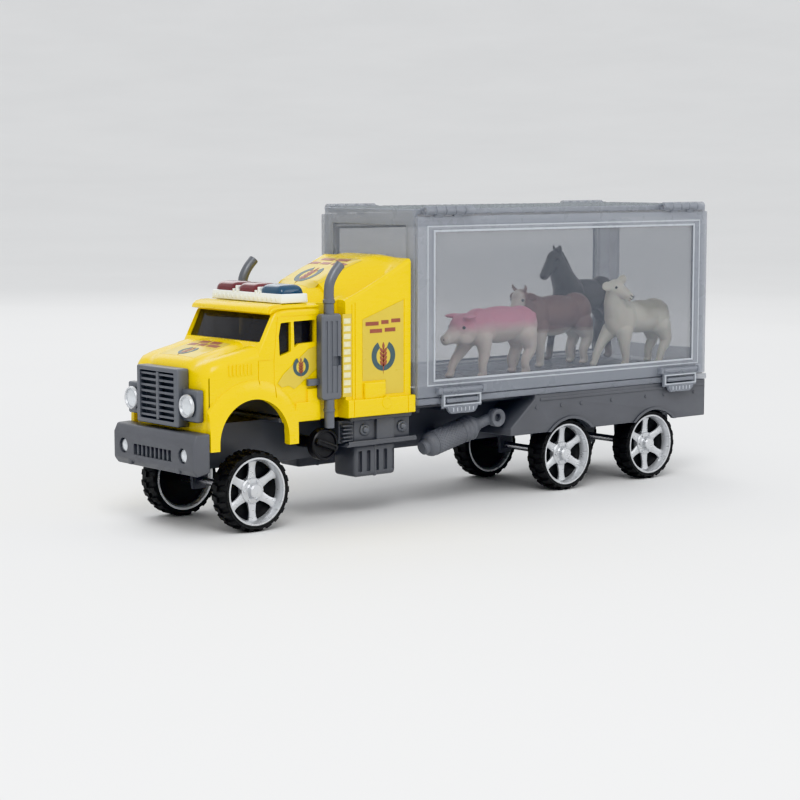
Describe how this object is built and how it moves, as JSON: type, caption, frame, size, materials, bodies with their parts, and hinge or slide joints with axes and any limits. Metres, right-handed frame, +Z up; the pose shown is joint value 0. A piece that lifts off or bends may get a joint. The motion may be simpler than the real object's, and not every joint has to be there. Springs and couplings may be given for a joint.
{
  "type": "toy livestock transporter truck",
  "caption": "Toy long-nose truck with a clear livestock case on its back: lift-up side doors with snap latches, turning wheel sets and farm animals inside.",
  "frame": {"origin": "on the ground under the middle of the truck's bounding box", "axes": "+Z up, the truck faces -X, its left side (the side with the steering wheel) faces -Y"},
  "size_m": [0.284, 0.0706, 0.126],
  "materials": {
    "yellow_plastic": "glossy moulded",
    "chassis_plastic": "satin moulded",
    "gunmetal_plastic": "semi-gloss moulded",
    "black_plastic": "satin moulded",
    "smoked_glazing": "smoked",
    "lamp_lens": "glossy",
    "white_plastic": "glossy moulded",
    "blue_lens": "glossy translucent",
    "red_lens": "glossy translucent",
    "frosted_case": "clear panels, frosted frame",
    "steel_pin": "drawn wire",
    "tyre_rubber": "matt",
    "silver_rim": "silver plated plastic",
    "printed_label": "printed, satin varnish",
    "pig_vinyl": "painted soft plastic",
    "sheep_vinyl": "painted soft plastic",
    "cow_vinyl": "painted soft plastic",
    "horse_vinyl": "painted soft plastic"
  },
  "bodies": {
    "truck": {"beacon_centre": "red_lens", "beacon_left": "blue_lens", "beacon_right": "red_lens", "cab_glazing": "smoked_glazing", "cab_interior": "chassis_plastic", "cab_shell": "yellow_plastic", "case_body": "frosted_case", "chassis_frame": "chassis_plastic", "cow": "cow_vinyl", "exhaust_stack_left": "gunmetal_plastic", "exhaust_stack_right": "gunmetal_plastic", "filler_cap_left": "black_plastic", "filler_cap_right": "black_plastic", "front_bumper": "chassis_plastic", "front_grille": "gunmetal_plastic", "headlight_left": "lamp_lens", "headlight_right": "lamp_lens", "hinge_pins_left": "steel_pin", "hinge_pins_right": "steel_pin", "horse": "horse_vinyl", "label_door_left": "printed_label", "label_door_right": "printed_label", "label_sleeper_left": "printed_label", "label_sleeper_right": "printed_label", "label_strip_left": "printed_label", "label_strip_right": "printed_label", "light_bar_base": "white_plastic", "muffler_left": "chassis_plastic", "muffler_right": "chassis_plastic", "pig": "pig_vinyl", "sheep": "sheep_vinyl", "steering_wheel": "black_plastic", "step_tank_left": "chassis_plastic", "step_tank_right": "chassis_plastic", "tank_bolts_left": "gunmetal_plastic", "tank_bolts_right": "gunmetal_plastic", "trailer_bed": "chassis_plastic"},
    "front_wheel_set": {"axle_front": "steel_pin", "tyre_front_left": "tyre_rubber", "tyre_front_right": "tyre_rubber", "rim_front_left": "silver_rim", "rim_front_right": "silver_rim"},
    "middle_wheel_set": {"axle_middle": "steel_pin", "tyre_middle_left": "tyre_rubber", "tyre_middle_right": "tyre_rubber", "rim_middle_left": "silver_rim", "rim_middle_right": "silver_rim"},
    "rear_wheel_set": {"axle_rear": "steel_pin", "tyre_rear_left": "tyre_rubber", "tyre_rear_right": "tyre_rubber", "rim_rear_left": "silver_rim", "rim_rear_right": "silver_rim"},
    "door_left": {"case_door_left": "frosted_case"},
    "latch_front_left_body": {"latch_front_left": "frosted_case"},
    "latch_rear_left_body": {"latch_rear_left": "frosted_case"},
    "door_right": {"case_door_right": "frosted_case"},
    "latch_front_right_body": {"latch_front_right": "frosted_case"},
    "latch_rear_right_body": {"latch_rear_right": "frosted_case"}
  },
  "joints": [
    {"name": "front_axle_spin", "type": "hinge", "parent": "truck", "child": "front_wheel_set", "pos_m": [-0.113, 0, 0.016], "axis": [0, 1, 0], "continuous": true},
    {"name": "middle_axle_spin", "type": "hinge", "parent": "truck", "child": "middle_wheel_set", "pos_m": [0.055, 0, 0.016], "axis": [0, 1, 0], "continuous": true},
    {"name": "rear_axle_spin", "type": "hinge", "parent": "truck", "child": "rear_wheel_set", "pos_m": [0.108, 0, 0.016], "axis": [0, 1, 0], "continuous": true},
    {"name": "door_left_lift", "type": "hinge", "parent": "truck", "child": "door_left", "pos_m": [0.0535, -0.0326, 0.124], "axis": [-1, 0, 0], "range_deg": [0, 120]},
    {"name": "latch_front_left_flip", "type": "hinge", "parent": "door_left", "child": "latch_front_left_body", "pos_m": [-0.011, -0.0341, 0.0496], "axis": [-1, 0, 0], "range_deg": [0, 75]},
    {"name": "latch_rear_left_flip", "type": "hinge", "parent": "door_left", "child": "latch_rear_left_body", "pos_m": [0.122, -0.0341, 0.0496], "axis": [-1, 0, 0], "range_deg": [0, 75]},
    {"name": "door_right_lift", "type": "hinge", "parent": "truck", "child": "door_right", "pos_m": [0.0535, 0.0326, 0.124], "axis": [1, 0, 0], "range_deg": [0, 120]},
    {"name": "latch_front_right_flip", "type": "hinge", "parent": "door_right", "child": "latch_front_right_body", "pos_m": [-0.011, 0.0341, 0.0496], "axis": [1, 0, 0], "range_deg": [0, 75]},
    {"name": "latch_rear_right_flip", "type": "hinge", "parent": "door_right", "child": "latch_rear_right_body", "pos_m": [0.122, 0.0341, 0.0496], "axis": [1, 0, 0], "range_deg": [0, 75]}
  ]
}
